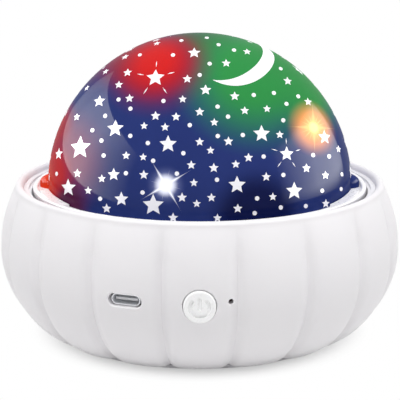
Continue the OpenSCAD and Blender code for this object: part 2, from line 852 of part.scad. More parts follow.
// The power sign: a ring open at the top with rounded ends, and a bar in the gap
module power_sign() {
    deep = 2 * symbol_deep;
    tip = [symbol_r * sin(symbol_gap), -symbol_r * cos(symbol_gap), 0];
    difference() {
        ring(symbol_r + symbol_w / 2, symbol_r - symbol_w / 2, deep);
        translate([0, 0, -1]) wedge(symbol_gap - 90, -symbol_gap - 90, 2 * symbol_r, deep + 2);
    }
    for (s = [-1, 1]) translate([s * tip[0], tip[1], 0]) cylinder(d = symbol_w, h = deep);
    translate([-symbol_w / 2, -symbol_bar[1], 0]) cube([symbol_w, symbol_bar[1] - symbol_bar[0], deep]);
}

module power_button() {
    r = button_d / 2;
    flange_s = face_r - flange_front;
    stem_s = face_r - switch_front - plunger_out;
    color("#f2f2f4") front_at(0, face_r, button_z) inwards() difference() {
        rotate_extrude() polygon([
            [0, 0], [r - button_edge, 0], [r, button_edge], [r, flange_s], [button_flange, flange_s],
            [button_flange, flange_s + button_flange_t], [button_stem / 2, flange_s + button_flange_t],
            [button_stem / 2, stem_s], [0, stem_s]
        ]);
        translate([0, 0, -symbol_deep]) power_sign();
    }
}

module indicator_led() {
    lead = 0.5;
    lead_x = 0.9;
    lead_back = 1.8;
    back_r = small_led_tip - small_led_l;
    color("#d23a2a") union() {
        front_at(hole_az, back_r, hole_z) rotate([90, 0, 0]) light(small_led_d, small_led_l);
        for (s = [-1, 1]) front_at(hole_az, back_r, hole_z) {
            translate([s * lead_x - lead / 2, -0.1, -lead / 2]) cube([lead, lead_back + 0.1, lead]);
            translate([s * lead_x - lead / 2, lead_back - lead, board_top - hole_z])
                cube([lead, lead, hole_z - board_top]);
        }
    }
}

// ---- battery ----

module battery_cell() {
    can_l = cell_l - nub_l;
    color("#4a7fb5") translate([0, cell_y, cell_z]) union() {
        translate([-nub_l / 2, 0, 0]) along_cell(cell_d, can_l);
        translate([cell_l / 2 - 1, 0, 0]) along_cell(nub_d, 2);
    }
}

module battery_clamp() {
    inside = cell_d + 2 * part_fit;
    foot = [clamp_w, 2 * clamp_foot_at + clamp_foot_w, clamp_foot_t];
    color("#e4e4e6") difference() {
        union() {
            intersection() {
                translate([0, cell_y, cell_z]) along_cell(inside + 2 * clamp_t, clamp_w);
                translate([-clamp_w, 0, clamp_boss_top]) cube([2 * clamp_w, 2 * cell_y, cell_d * 2]);
            }
            translate([-foot[0] / 2, cell_y - foot[1] / 2, clamp_boss_top]) cube(foot);
        }
        translate([0, cell_y, cell_z]) along_cell(inside, clamp_w + 2);
        at_clamp_feet() translate([0, 0, clamp_boss_top - 1])
            cylinder(d = clamp_screw[2] + 2 * part_fit, h = clamp_foot_t + 2);
    }
}

module clamp_screws() {
    color("#9a9da2") at_clamp_feet() translate([0, 0, clamp_boss_top + clamp_foot_t])
        mirror([0, 0, 1]) screw(clamp_screw);
}

module battery_lead_red() color("#c02020") tube(red_route, lead_d, [0, 0, 1]);

module battery_lead_black() color("#202022") tube(black_route, lead_d, [0, 0, 1]);

module motor_leads() color("#d0a020") tube(motor_route, motor_lead_d, [1, 0, 0]);

module led_harness() color("#e0e0e0") tube(harness_route, harness_d, [1, 0, 0]);

outer_shell();
base_plate();
rubber_feet();
base_screws();
deck_tray();
thrust_washer();
turntable();
drive_gear();
gear_screws();
pinion();
motor_shaft();
motor_gearbox();
motor_can();
motor_screws();
film_dome();
led_holder();
led_board();
led_board_screw();
led_red();
led_green();
led_blue();
led_white();
main_board();
board_screws();
board_chips();
wire_sockets();
usb_shell();
usb_tongue();
tact_switch();
tact_plunger();
power_button();
indicator_led();
battery_cell();
battery_clamp();
clamp_screws();
battery_lead_red();
battery_lead_black();
motor_leads();
led_harness();
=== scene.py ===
import math

import bmesh
import bpy
from mathutils import Matrix, Vector


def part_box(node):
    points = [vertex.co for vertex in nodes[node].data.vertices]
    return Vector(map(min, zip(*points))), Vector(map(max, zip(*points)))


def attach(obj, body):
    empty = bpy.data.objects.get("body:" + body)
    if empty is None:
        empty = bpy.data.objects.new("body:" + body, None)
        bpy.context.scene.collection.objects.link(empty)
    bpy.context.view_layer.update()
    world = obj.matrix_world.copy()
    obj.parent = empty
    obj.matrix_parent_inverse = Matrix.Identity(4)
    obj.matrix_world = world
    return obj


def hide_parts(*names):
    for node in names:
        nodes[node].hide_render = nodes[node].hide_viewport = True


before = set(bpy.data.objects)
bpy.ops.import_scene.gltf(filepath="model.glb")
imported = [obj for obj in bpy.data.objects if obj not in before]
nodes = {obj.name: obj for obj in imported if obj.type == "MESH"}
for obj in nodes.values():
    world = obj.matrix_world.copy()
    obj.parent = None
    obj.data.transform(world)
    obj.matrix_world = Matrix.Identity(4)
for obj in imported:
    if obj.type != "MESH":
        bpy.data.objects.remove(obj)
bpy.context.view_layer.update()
mm = 0.001
print("packed model loaded:", len(nodes), "nodes")


def linear(code):
    # sRGB hex to the linear values that Blender's colour sockets take
    values = []
    for i in (0, 2, 4):
        c = int(code[i:i + 2], 16) / 255
        values.append(c / 12.92 if c <= 0.04045 else ((c + 0.055) / 1.055) ** 2.4)
    return (*values, 1.0)


def fillNode(tree, node, settings, links):
    # a number, or a name that starts with a capital, is a socket; any other name is the node's own setting
    sockets = {}
    for name, value in settings.items():
        if isinstance(name, int) or name[0].isupper():
            sockets[name] = value
        else:
            setattr(node, name, value)
    for name, value in sockets.items():
        node.inputs[name].default_value = value
    for name, (source, output) in links.items():
        tree.links.new(source.outputs[output], node.inputs[name])
    return node


def addNode(tree, kind, settings=None, links=None):
    return fillNode(tree, tree.nodes.new(kind), settings or {}, links or {})


def addNoise(tree, place, size, detail, **more):
    # noise with a size in mm
    settings = {"Scale": 1 / (size * mm), "Detail": detail, **more}
    return addNode(tree, "ShaderNodeTexNoise", settings, {"Vector": place})


def addBump(tree, height, strength, depth):
    # depth in mm
    settings = {"Strength": strength, "Distance": depth * mm}
    return addNode(tree, "ShaderNodeBump", settings, {"Height": (height, 0)})


def addMix(tree, factor, low, high, blend="MIX"):
    # mixes two colours, each a hex code or another mix; the factor is a number or a node
    settings = {"data_type": "RGBA", "blend_type": blend}
    links = {}
    for socket, value in ((0, factor), (6, low), (7, high)):
        if isinstance(value, str):
            settings[socket] = linear(value)
        elif isinstance(value, float):
            settings[socket] = value
        else:
            links[socket] = (value, 2 if socket else 0)
    return addNode(tree, "ShaderNodeMix", settings, links)


def addRange(tree, source, start, end, smooth=True):
    # turns the source's range between two values into another range, with soft or with straight ends
    settings = {"interpolation_type": "SMOOTHSTEP" if smooth else "LINEAR", "From Min": start[0],
                "From Max": start[1], "To Min": end[0], "To Max": end[1]}
    return addNode(tree, "ShaderNodeMapRange", settings, {"Value": source})


def addMath(tree, operation, first, second=0.0):
    # first is an output, second an output or a number
    if isinstance(second, tuple):
        return addNode(tree, "ShaderNodeMath", {"operation": operation}, {0: first, 1: second})
    return addNode(tree, "ShaderNodeMath", {"operation": operation, 1: second}, {0: first})


def objectPlace(tree):
    return addNode(tree, "ShaderNodeTexCoord"), "Object"


def newMaterial(name):
    material = bpy.data.materials.new(name)
    material.use_nodes = True
    return material, material.node_tree, material.node_tree.nodes["Principled BSDF"]


def mouldedPlastic(name, colour, shade, roughness, grain, depth):
    # Injection-moulded plastic: a faint cloudiness in the colour, an eroded grain in the surface
    material, tree, shader = newMaterial(name)
    place = objectPlace(tree)
    cloud = addNoise(tree, place, 22, 3.0)
    spark = addNoise(tree, place, grain, 2.0, Roughness=0.55)
    tint = addMix(tree, cloud, shade, colour)
    gloss = addRange(tree, (spark, 0), (0.3, 0.7), (roughness - 0.05, roughness + 0.05), smooth=False)
    bump = addBump(tree, spark, 0.35, depth)
    fillNode(tree, shader, {"IOR": 1.53},
             {"Base Color": (tint, 2), "Roughness": (gloss, 0), "Normal": (bump, 0)})
    return material


def workedMetal(name, colour, shade, roughness, streak, stretch):
    # Drawn, turned or plated metal: fine streaks along one axis and a little tarnish
    material, tree, shader = newMaterial(name)
    place = objectPlace(tree)
    turned = addNode(tree, "ShaderNodeMapping", {"Scale": stretch}, {"Vector": place})
    lines = addNoise(tree, (turned, 0), streak, 4.0)
    stain = addNoise(tree, place, 3, 3.0)
    tint = addMix(tree, stain, shade, colour)
    gloss = addRange(tree, (lines, 0), (0.3, 0.7), (roughness - 0.07, roughness + 0.09), smooth=False)
    bump = addBump(tree, lines, 0.3, 0.01)
    fillNode(tree, shader, {"Metallic": 1.0},
             {"Base Color": (tint, 2), "Roughness": (gloss, 0), "Normal": (bump, 0)})
    return material


def castRubber(name, colour, shade):
    # Moulded silicone rubber: matt, with a dusty bloom and a fine tooth
    material, tree, shader = newMaterial(name)
    place = objectPlace(tree)
    tooth = addNoise(tree, place, 0.35, 3.0)
    bloom = addNoise(tree, place, 4, 2.0)
    tint = addMix(tree, bloom, colour, shade)
    bump = addBump(tree, tooth, 0.5, 0.04)
    fillNode(tree, shader, {"Roughness": 0.78, "Specular IOR Level": 0.3},
             {"Base Color": (tint, 2), "Normal": (bump, 0)})
    return material


def maskedBoard(name, mask, track, trackWidth):
    # Printed circuit: copper tracks and fill show as a paler relief under the solder mask
    material, tree, shader = newMaterial(name)
    cells = addNode(tree, "ShaderNodeTexVoronoi", {"distance": "MANHATTAN", "feature": "DISTANCE_TO_EDGE",
                                                   "Scale": 1 / (4.2 * mm), "Randomness": 0.85},
                    {"Vector": objectPlace(tree)})
    lines = addRange(tree, (cells, 0), (trackWidth * 0.6, trackWidth), (1.0, 0.0))
    tint = addMix(tree, lines, mask, track)
    bump = addBump(tree, lines, 0.5, 0.035)
    fillNode(tree, shader, {"Roughness": 0.32, "Coat Weight": 0.4},
             {"Base Color": (tint, 2), "Normal": (bump, 0)})
    return material


def castEpoxy(name, colour, deep, glow):
    # Cast tinted epoxy lens: clear gloss, deeper colour low down, lit from its chip
    material, tree, shader = newMaterial(name)
    wisps = addNoise(tree, objectPlace(tree), 2.5, 1.0)
    tint = addMix(tree, wisps, deep, colour)
    fillNode(tree, shader, {"Emission Strength": glow, "Roughness": 0.06, "IOR": 1.54,
                            "Transmission Weight": 0.25, "Coat Weight": 0.5},
             {"Base Color": (tint, 2), "Emission Color": (tint, 2)})
    return material


def drawnSleeve(name, colour, shade, roughness, ripple):
    # Extruded or shrunk PVC: soft gloss with slight ripples from the drawing
    material, tree, shader = newMaterial(name)
    waves = addNoise(tree, objectPlace(tree), ripple, 2.0)
    tint = addMix(tree, waves, shade, colour)
    bump = addBump(tree, waves, 0.25, 0.05)
    fillNode(tree, shader, {"Roughness": roughness}, {"Base Color": (tint, 2), "Normal": (bump, 0)})
    return material


shellAbs = mouldedPlastic("satinWhiteAbsMoulded", "EDEBED", "E9E7EA", 0.42, 0.5, 0.012)  # soft sheen
ringAbs = mouldedPlastic("polishedWhiteAbsMoulded", "FAF9FA", "F6F5F7", 0.3, 0.8, 0.008)  # closer gloss
trayAbs = mouldedPlastic("whiteAbsMoulded", "EFEEF0", "EAE9EC", 0.46, 0.5, 0.015)
buttonAbs = mouldedPlastic("glossWhiteAbsMoulded", "FDFDFD", "FAFAFB", 0.3, 0.8, 0.006)
baseAbs = mouldedPlastic("sparkErodedWhiteAbs", "E6E5E8", "DFDEE2", 0.6, 0.45, 0.04)  # coarse grain
gearAcetal = mouldedPlastic("naturalAcetalMoulded", "EFE8D2", "E6DDC3", 0.4, 0.5, 0.012)
washerNylon = mouldedPlastic("naturalNylonTurned", "DDD3B4", "D2C7A4", 0.5, 0.4, 0.02)
socketNylon = mouldedPlastic("naturalNylonMoulded", "EEE9DC", "E3DCCB", 0.45, 0.5, 0.015)
chipEpoxy = mouldedPlastic("blackMouldingCompound", "1B1B1D", "232326", 0.55, 0.25, 0.03)
blackNylon = mouldedPlastic("blackNylonMoulded", "202022", "28282B", 0.45, 0.4, 0.02)
tongueLcp = mouldedPlastic("greyPolymerMoulded", "DADBDD", "D0D1D4", 0.5, 0.4, 0.01)
zincSteel = workedMetal("zincPlatedSteel", "B9BCC2", "A6A9AF", 0.32, 0.25, (1, 1, 5))
groundSteel = workedMetal("groundSteel", "C6C8CC", "B8BABF", 0.2, 0.12, (1, 1, 12))
drawnSteel = workedMetal("drawnSteelCan", "B7BABF", "A8ABB1", 0.3, 0.3, (5, 5, 0.6))
stampedBrass = workedMetal("stampedBrass", "D8B56A", "C49D50", 0.3, 0.3, (4, 1, 1))
nickelShell = workedMetal("mattTinPlatedSteel", "F4F5F7", "E8E9EC", 0.7, 0.3, (1, 4, 1))
footRubber = castRubber("darkSiliconeRubber", "2E2E30", "3C3C3F")
greenBoard = maskedBoard("greenSolderMask", "1C4A2E", "2C6B45", 0.1)
whiteBoard = maskedBoard("whiteSolderMask", "E9ECE9", "DCE1DD", 0.08)
redLens = castEpoxy("redEpoxyLens", "F0322A", "C81E18", 0.5)
greenLens = castEpoxy("greenEpoxyLens", "38D868", "20B04A", 0.5)
blueLens = castEpoxy("blueEpoxyLens", "3A6CF0", "2048D0", 0.5)
whiteLens = castEpoxy("clearEpoxyLens", "FFF7E2", "F3E8C8", 0.6)
indicatorLens = castEpoxy("redIndicatorLens", "8A2C26", "5C201C", 0.0)
cellSleeve = drawnSleeve("blueShrinkSleeve", "4C7FB4", "406FA3", 0.3, 6)
redWire = drawnSleeve("redPvcWire", "C0211C", "A81A16", 0.4, 1.5)
blackWire = drawnSleeve("blackPvcWire", "1E1E20", "28282A", 0.4, 1.5)
yellowWire = drawnSleeve("yellowPvcWire", "D2A126", "C0901C", 0.4, 1.5)
whiteWire = drawnSleeve("whitePvcWire", "E4E4E4", "D6D6D6", 0.4, 1.5)

finishes = {
    "outer_shell": shellAbs, "base_plate": baseAbs, "rubber_feet": footRubber, "base_screws": zincSteel,
    "deck_tray": trayAbs, "thrust_washer": washerNylon, "turntable": ringAbs, "drive_gear": gearAcetal,
    "gear_screws": zincSteel, "pinion": gearAcetal, "motor_shaft": groundSteel, "motor_gearbox": stampedBrass,
    "motor_can": drawnSteel, "motor_screws": zincSteel, "film_dome": shellAbs, "led_holder": trayAbs,
    "led_board": whiteBoard, "led_board_screw": zincSteel, "led_red": redLens, "led_green": greenLens,
    "led_blue": blueLens, "led_white": whiteLens, "main_board": greenBoard, "board_screws": zincSteel,
    "board_chips": chipEpoxy, "wire_sockets": socketNylon, "usb_shell": nickelShell, "usb_tongue": tongueLcp,
    "tact_switch": blackNylon, "tact_plunger": socketNylon, "power_button": buttonAbs,
    "indicator_led": indicatorLens, "battery_cell": cellSleeve, "battery_clamp": baseAbs,
    "clamp_screws": zincSteel, "battery_lead_red": redWire, "battery_lead_black": blackWire,
    "motor_leads": yellowWire, "led_harness": whiteWire,
}
for name, node in nodes.items():
    node.data.materials.clear()
    node.data.materials.append(finishes[name])
print("materials given to", len(finishes), "nodes")


def finishPiece(name, bm, material, body, slotName, *stoodFor, sharp):
    # a bmesh in millimetres becomes a piece in metres, smooth apart from its real edges
    bmesh.ops.scale(bm, vec=(mm, mm, mm), verts=bm.verts)
    mesh = bpy.data.meshes.new(name)
    bm.to_mesh(mesh)
    bm.free()
    mesh.polygons.foreach_set("use_smooth", [True] * len(mesh.polygons))
    mesh.set_sharp_from_angle(angle=math.radians(sharp))
    mesh.materials.append(material)
    piece = bpy.data.objects.new(name, mesh)
    bpy.context.scene.collection.objects.link(piece)
    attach(piece, body)
    if stoodFor:
        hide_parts(*stoodFor)
    return piece


def spinProfile(points, steps, closed):
    # points are (radius, height); a closed section gives a ring, an open one starts and ends on the Z axis
    bm = bmesh.new()
    verts = [bm.verts.new((r, 0, z)) for r, z in points]
    edges = [bm.edges.new(pair) for pair in zip(verts, verts[1:])]
    if closed:
        edges.append(bm.edges.new((verts[-1], verts[0])))
    bmesh.ops.spin(bm, geom=verts + edges, cent=(0, 0, 0), axis=(0, 0, 1), angle=math.tau, steps=steps,
                   use_merge=True)
    bmesh.ops.remove_doubles(bm, verts=bm.verts, dist=0.0005)
    bmesh.ops.recalc_face_normals(bm, faces=bm.faces)
    return bm


def cutWith(bm, cutters, operation="DIFFERENCE"):
    # runs a boolean between bmeshes, through two objects that are removed again
    made = []
    for part in (bm, *cutters):
        mesh = bpy.data.meshes.new("cutting")
        part.to_mesh(mesh)
        part.free()
        thing = bpy.data.objects.new("cutting", mesh)
        bpy.context.scene.collection.objects.link(thing)
        made.append(thing)
    for cutter in made[1:]:
        change = made[0].modifiers.new("cut", "BOOLEAN")
        change.operation = operation
        change.object = cutter
        change.solver = "EXACT"
    evaluated = made[0].evaluated_get(bpy.context.evaluated_depsgraph_get())
    result = bmesh.new()
    result.from_mesh(evaluated.to_mesh())
    evaluated.to_mesh_clear()
    for thing in made:
        mesh = thing.data
        bpy.data.objects.remove(thing)
        bpy.data.meshes.remove(mesh)
    return result


def arc(centre, radii, start, end, steps):
    # points on an ellipse, angles in degrees, both ends included
    turn = [math.radians(start + (end - start) * i / steps) for i in range(steps + 1)]
    return [(centre[0] + radii[0] * math.cos(a), centre[1] + radii[1] * math.sin(a)) for a in turn]


shellValues = {
    "bodyRadius": 64.98, "bellyHeight": 27.5, "footInset": 22.2, "rimInset": 5.75, "rimHeight": 49.2,
    "lowerPower": 1.856, "upperPower": 2.18, "lobes": 18, "creaseDepth": 2.2, "creaseFade": 10.0,
    "creaseSoftness": 0.02, "creaseWidth": 0.34, "creaseShare": 0.7, "creaseAtFoot": 0.6, "footRise": 14.0,
    "lipHeight": 1.2, "lipWidth": 1.95, "wall": 1.2, "ledgeDrop": 3.2, "ledgeWidth": 1.2,
    "stepsPerLobe": 34, "footHeight": 2.35, "plateRadius": 46.0,
    "slotTurn": -19.5, "slotHeight": 26.63, "slotSize": (10.3, 3.7), "buttonHeight": 26.1,
    "boreRadius": 4.92, "pinholeTurn": 7.97, "pinholeHeight": 27.2, "pinholeRadius": 0.8,
}


def outlineRadius(z):
    s = shellValues
    if z < s["bellyHeight"]:
        low = 1 - ((s["bellyHeight"] - z) / s["bellyHeight"]) ** s["lowerPower"]
        return s["bodyRadius"] - s["footInset"] + s["footInset"] * low ** (1 / s["lowerPower"])
    high = (z - s["bellyHeight"]) / (s["rimHeight"] - s["bellyHeight"])
    return s["bodyRadius"] - s["rimInset"] * high ** s["upperPower"]


def creaseAt(turn, z):
    # how deep the surface lies, for a turn in degrees from the front; lobes are centred on the front
    s = shellValues
    lobe = 360 / s["lobes"]
    across = abs((turn / lobe + 0.5) % 1 * 2 - 1)
    fromCrease = math.hypot(1 - across, s["creaseSoftness"])
    fade = max(0.0, min(1.0, (s["rimHeight"] - s["lipHeight"] - z) / s["creaseFade"]))
    fade *= s["creaseAtFoot"] + (1 - s["creaseAtFoot"]) * min(1.0, z / s["footRise"])
    wide = max(0.0, 1 - fromCrease) ** 2
    narrow = max(0.0, 1 - fromCrease / s["creaseWidth"]) ** 2
    return s["creaseDepth"] * fade * (wide + (narrow - wide) * s["creaseShare"])


def throughCutter(turn, height, halfSpan, radius, lead, depth):
    # a closed plug for a hole along the shell's radius, with a softly rounded mouth that follows the surface;
    # each ring has its depth under the surface and how much wider than the hole it is
    bm = bmesh.new()
    around = 44
    start = Matrix.Rotation(math.pi / around, 4, "Z")  # no point at the middle of the slot's long sides
    rings = [(-0.6, lead * 1.9), (-0.12, lead * 1.15), (0, lead), (lead * 0.12, lead * 0.62),
             (lead * 0.38, lead * 0.3), (lead * 0.75, lead * 0.08), (lead * 1.2, 0), (depth, 0)]
    loops = []
    for deep, grow in rings:
        made = bmesh.ops.create_circle(bm, segments=around, radius=radius + grow, matrix=start)["verts"]
        for v in made:
            u = v.co.x + math.copysign(halfSpan, v.co.x)
            z = height + v.co.y
            off = math.degrees(math.asin(u / shellValues["bodyRadius"]))
            surface = outlineRadius(z) - creaseAt(turn + off, z)
            v.co = (u, -(math.sqrt(surface ** 2 - u ** 2) - deep), z)
        loops.append(list({e for v in made for e in v.link_edges}))
    for front, back in zip(loops, loops[1:]):
        bmesh.ops.bridge_loops(bm, edges=front + back)
    for loop in (loops[0], loops[-1]):
        bmesh.ops.contextual_create(bm, geom=loop)
    bmesh.ops.triangulate(bm, faces=[f for f in bm.faces if len(f.verts) > 4])
    bmesh.ops.rotate(bm, verts=bm.verts, cent=(0, 0, 0), matrix=Matrix.Rotation(math.radians(turn), 3, "Z"))
    bmesh.ops.recalc_face_normals(bm, faces=bm.faces)
    return bm


def makeShell():
    s = shellValues
    foot, belly, rim = s["bodyRadius"] - s["footInset"], s["bellyHeight"], s["rimHeight"]
    lipLow = rim - s["lipHeight"]
    lipOuter = outlineRadius(lipLow)
    mouth = s["bodyRadius"] - s["rimInset"] - s["lipWidth"]
    power = 2 / s["lowerPower"]
    lowest = math.asin(((belly - s["footHeight"]) / belly) ** (1 / power))
    footRadius = outlineRadius(s["footHeight"])
    section = [(footRadius - 0.9, 2.0), (footRadius - 0.35, 2.07)]
    for i in range(26):
        t = lowest * (1 - i / 26)
        section.append((foot + s["footInset"] * math.cos(t) ** power, belly - belly * math.sin(t) ** power))
    section += [(outlineRadius(z), z) for z in (belly + (lipLow - belly) * i / 20 for i in range(20))]
    middle, half = (lipOuter + mouth) / 2, (lipOuter - mouth) / 2
    section += arc((middle, lipLow), (half, s["lipHeight"]), 0, 180, 14)
    ledge, ledgeHeight = mouth - s["ledgeWidth"], rim - s["ledgeDrop"]
    section += [(mouth, ledgeHeight + 0.3), (mouth - 0.3, ledgeHeight), (ledge + 0.2, ledgeHeight),
                (ledge, ledgeHeight - 0.2), (ledge, ledgeHeight - 2.5)]
    inset = s["creaseDepth"] + s["wall"]
    section += [(outlineRadius(z) - inset, z) for z in (41 - 2.25 * i for i in range(17))]
    section += [(s["plateRadius"], 4.0), (s["plateRadius"], 2.2), (s["plateRadius"] + 0.2, 2.0)]
    bm = spinProfile(section, s["lobes"] * s["stepsPerLobe"], True)
    for v in bm.verts:
        r = math.hypot(v.co.x, v.co.y)
        z = max(v.co.z, s["footHeight"])
        if v.co.z < lipLow and r > outlineRadius(z) - 1.2:
            slope = (outlineRadius(z + 0.05) - outlineRadius(z - 0.05)) / 0.1
            deep = creaseAt(math.degrees(math.atan2(v.co.x, -v.co.y)), z) / math.hypot(1, slope)
            k = (r - deep) / r
            v.co = (v.co.x * k, v.co.y * k, v.co.z + deep * slope)
    slotWidth, slotTall = s["slotSize"]
    holes = [
        throughCutter(s["slotTurn"], s["slotHeight"], (slotWidth - slotTall) / 2, slotTall / 2, 0.4, 7),
        throughCutter(0, s["buttonHeight"], 0, s["boreRadius"], 0.28, 7),
        throughCutter(s["pinholeTurn"], s["pinholeHeight"], 0, s["pinholeRadius"], 0.16, 7),
    ]
    bm = cutWith(bm, holes)
    return finishPiece("outerShell", bm, shellAbs, "base", "shell_abs", "outer_shell", sharp=50)


makeShell()
print("outer shell made")


landValues = {"top": 47.6, "outer": 52.75, "start": 15, "end": 37, "rise": 1.0}


def raiseLands(bm):
    # the lands that hold the dome's edge rise towards its ears
    s = landValues
    for v in bm.verts:
        away = math.degrees(math.atan2(abs(v.co.y), abs(v.co.x)))
        if abs(v.co.z - s["top"]) < 0.03 and math.hypot(v.co.x, v.co.y) < s["outer"]:
            v.co.z += s["rise"] * (s["end"] - away) / (s["end"] - s["start"])


softeningValues = {"merge": 0.002, "flat": 0.6, "bevelFrom": 50, "sharp": 40}  # mm and degrees


def softenedCopy(nodeName, piece, body, slotName, edge, reshape=None):
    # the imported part's own mesh, merged, its flat faces joined and its sharp edges broken as moulded ones are
    s = softeningValues
    bm = bmesh.new()
    bm.from_mesh(nodes[nodeName].data)
    bmesh.ops.scale(bm, vec=(1000, 1000, 1000), verts=bm.verts)
    bmesh.ops.remove_doubles(bm, verts=bm.verts, dist=s["merge"])
    bmesh.ops.dissolve_limit(bm, angle_limit=math.radians(s["flat"]), verts=bm.verts, edges=bm.edges)
    if reshape:
        reshape(bm)
    least = math.radians(s["bevelFrom"])
    hard = [e for e in bm.edges if len(e.link_faces) == 2 and e.calc_face_angle(0) > least]
    bmesh.ops.bevel(bm, geom=hard, offset=edge, offset_type="OFFSET", segments=2, profile=0.5,
                    affect="EDGES", material=-1, clamp_overlap=True)
    bmesh.ops.triangulate(bm, faces=[f for f in bm.faces if len(f.verts) > 4])
    return finishPiece(piece, bm, finishes[nodeName], body, slotName, nodeName, sharp=s["sharp"])


softenedCopy("turntable", "turntableRing", "turntable", "ring_abs", 0.12, reshape=raiseLands)
softenedCopy("deck_tray", "deckTray", "base", "tray_abs", 0.1)
softenedCopy("base_plate", "basePlate", "base", "base_abs", 0.15)
softenedCopy("rubber_feet", "rubberFeet", "base", "foot_rubber", 0.3)
print("ring, tray, base plate and feet softened")


buttonValues = {"capRadius": 4.72, "edgeRound": 0.45, "flangeRadius": 5.9, "flangeThick": 1.0,
                "flangeAt": 5.44, "stemRadius": 2.4, "height": 26.1, "signRadius": 2.7, "signStroke": 1.15,
                "signGap": 52, "signBar": (-1.07, 2.8), "signDeep": 0.6}


def roundEnd(tip, before, steps):
    # half a circle of directions round the end of a stroke
    along = (Vector(tip) - Vector(before)).normalized()
    across = Vector((-along.y, along.x))
    turns = [math.pi * k / steps for k in range(1, steps)]
    return [(Vector(tip), across * math.cos(t) + along * math.sin(t)) for t in turns]


def strokeCutter(points, width, deep, closedEnds=12):
    # a groove with sloped sides along flat points (x, z), rounded at both ends, cut into a face at y = 0
    bm = bmesh.new()
    half = width / 2
    sides = {1: [], -1: []}
    for i, p in enumerate(points):
        a, b = Vector(points[max(i - 1, 0)]), Vector(points[min(i + 1, len(points) - 1)])
        along = (b - a).normalized()
        across = Vector((-along.y, along.x))
        for side in (1, -1):
            sides[side].append((Vector(p), across * side))
    outline = sides[1] + roundEnd(points[-1], points[-2], closedEnds)
    outline += sides[-1][::-1] + roundEnd(points[0], points[1], closedEnds)
    levels = [(-0.3, half + 0.22), (0.0, half), (deep * 0.7, half - 0.06), (deep, half - 0.2)]
    loops = []
    for depth, reach in levels:
        loops.append([bm.verts.new((p.x + n.x * reach, depth, p.y + n.y * reach)) for p, n in outline])
    edges = [[bm.edges.new(pair) for pair in zip(loop, loop[1:] + loop[:1])] for loop in loops]
    for low, high in zip(edges, edges[1:]):
        bmesh.ops.bridge_loops(bm, edges=low + high)
    for loop in (edges[0], edges[-1]):
        bmesh.ops.contextual_create(bm, geom=loop)
    bmesh.ops.triangulate(bm, faces=[f for f in bm.faces if len(f.verts) > 4])
    bmesh.ops.recalc_face_normals(bm, faces=bm.faces)
    return bm


def makeButton():
    s = buttonValues
    low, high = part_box("power_button")
    face, back = -low.y / mm, (high.y - low.y) / mm
    r, e = s["capRadius"], s["edgeRound"]
    at, flange, stem = s["flangeAt"], s["flangeRadius"], s["stemRadius"]
    section = [(0, 0), (r * 0.35, 0.0), (r * 0.7, 0.01)]
    rounding = [math.pi / 2 * k / 6 for k in range(7)]
    section += [(r - e + e * math.sin(t), e - e * math.cos(t)) for t in rounding]
    section += [(r, at - 0.2), (r + 0.2, at), (flange - 0.15, at), (flange, at + 0.15),
                (flange, at + s["flangeThick"]), (stem, at + s["flangeThick"]), (stem, back - 0.15),
                (stem - 0.15, back), (0, back)]
    bm = spinProfile(section, 96, False)
    bmesh.ops.rotate(bm, verts=bm.verts, cent=(0, 0, 0), matrix=Matrix.Rotation(-math.pi / 2, 3, "X"))
    gap = s["signGap"]
    ring = [(s["signRadius"] * math.sin(math.radians(a)), s["signRadius"] * math.cos(math.radians(a)))
            for a in (gap + (360 - 2 * gap) * i / 40 for i in range(41))]
    half = s["signStroke"] / 2
    bar = [(0, s["signBar"][0] + half), (0, 1.0), (0, s["signBar"][1] - half)]
    bm = cutWith(bm, [strokeCutter(line, s["signStroke"], s["signDeep"]) for line in (ring, bar)])
    bmesh.ops.translate(bm, vec=(0, -face, s["height"]), verts=bm.verts)
    return finishPiece("powerButton", bm, buttonAbs, "button", "button_abs", "power_button", sharp=50)


makeButton()
print("power button made")


domeValues = {"radius": 49.44, "centre": 47.2, "base": 46.7, "wall": 1.15, "earRadius": 4.75, "earAt": 47.55,
              "earHeight": 4.1, "earSide": 1.4, "earGap": 0.02, "printRadius": 49.49}
viewRise = 12.2  # height in degrees from which the print is drawn to look right
viewDirection = Vector((0, -math.cos(math.radians(viewRise)), math.sin(math.radians(viewRise))))


def onDome(turn, rise):
    # direction from the dome's centre, in degrees: turn from the front to the right, rise above the rim
    a, b = math.radians(turn), math.radians(rise)
    return Vector((math.sin(a) * math.cos(b), -math.cos(a) * math.cos(b), math.sin(b)))


# Colour zones of the print, and at the end one of painted orange glow round the orange flare: turn, rise,
# full-colour reach and fading reach as parts of the radius, colour.
# They are round when the dome is looked at from the front, and drawn out along the view.
zones = [
    (180, 42, 0.18, 0.40, "A3202C"), (135, 20, 0.16, 0.42, "33277E"), (-140, 30, 0.12, 0.36, "27854A"),
    (-110, 55, 0.10, 0.38, "5A2350"), (20, 86, 0.10, 0.30, "2C5440"), (-64, 14, 0.08, 0.40, "7A2A50"),
    (20, 0, 0.15, 0.33, "061040"), (34, 54, 0.16, 0.56, "2A8240"), (70, 44, 0.10, 0.38, "2A8240"),
    (105, 60, 0.10, 0.40, "2A8040"), (-62, 62, 0.04, 0.30, "8E2836"), (-33, 60, 0.14, 0.40, "701A34"),
    (-33, 60, 0.06, 0.31, "BE1A1A"), (-76, 6, 0.13, 0.26, "B01C24"), (-88, 22, 0.08, 0.24, "9C1C2C"),
    # the last zone, D98F52 round the orange flare, is painted orange glow, not print
    (-88, 1, 0.06, 0.20, "CC3A1E"), (-54, 0, 0.05, 0.18, "4A183C"), (53.1, 28.4, 0.04, 0.19, "D98F52"),
]
# after the bare film's white comes painted orange glow, for the stars near the orange flare
filmValues = {"ground": ("1D2B62", "25336F"), "starInk": "F0EFF4", "paintedOrangeGlow": "C88858", "lacquer": 0.16,
              "alongView": 0.4}  # alongView: how much a distance counts along the view, against across it
